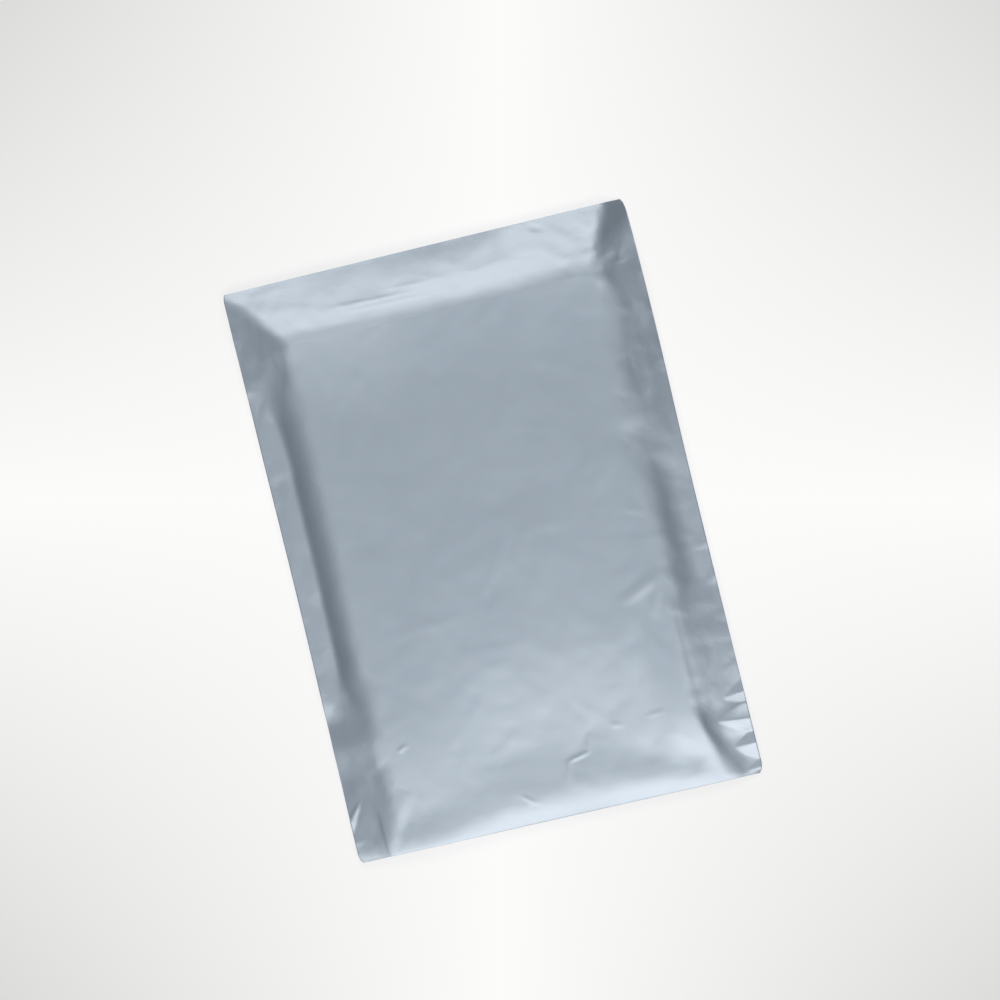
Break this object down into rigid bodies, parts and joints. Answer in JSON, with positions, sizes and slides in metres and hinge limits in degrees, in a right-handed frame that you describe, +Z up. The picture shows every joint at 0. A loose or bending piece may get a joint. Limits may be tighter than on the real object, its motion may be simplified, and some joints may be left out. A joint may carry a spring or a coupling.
{
  "type": "filled poly mailer bag",
  "caption": "Sealed silver-grey film mailer, filled and lying flat: crowned face, creased flanks, flat welded side margins, folded base.",
  "frame": {"origin": "centre of the bag's outline, on the surface that its closure side lies on", "axes": "+Z up through the face, +Y along the bag towards its folded mouth, +X across the bag"},
  "size_m": [0.248, 0.352, 0.0161],
  "materials": {
    "silver_film": "satin silver-grey film with a soft sheen and fine crinkles"
  },
  "bodies": {
    "root": {"mailer_bag": "silver_film"}
  },
  "joints": []
}
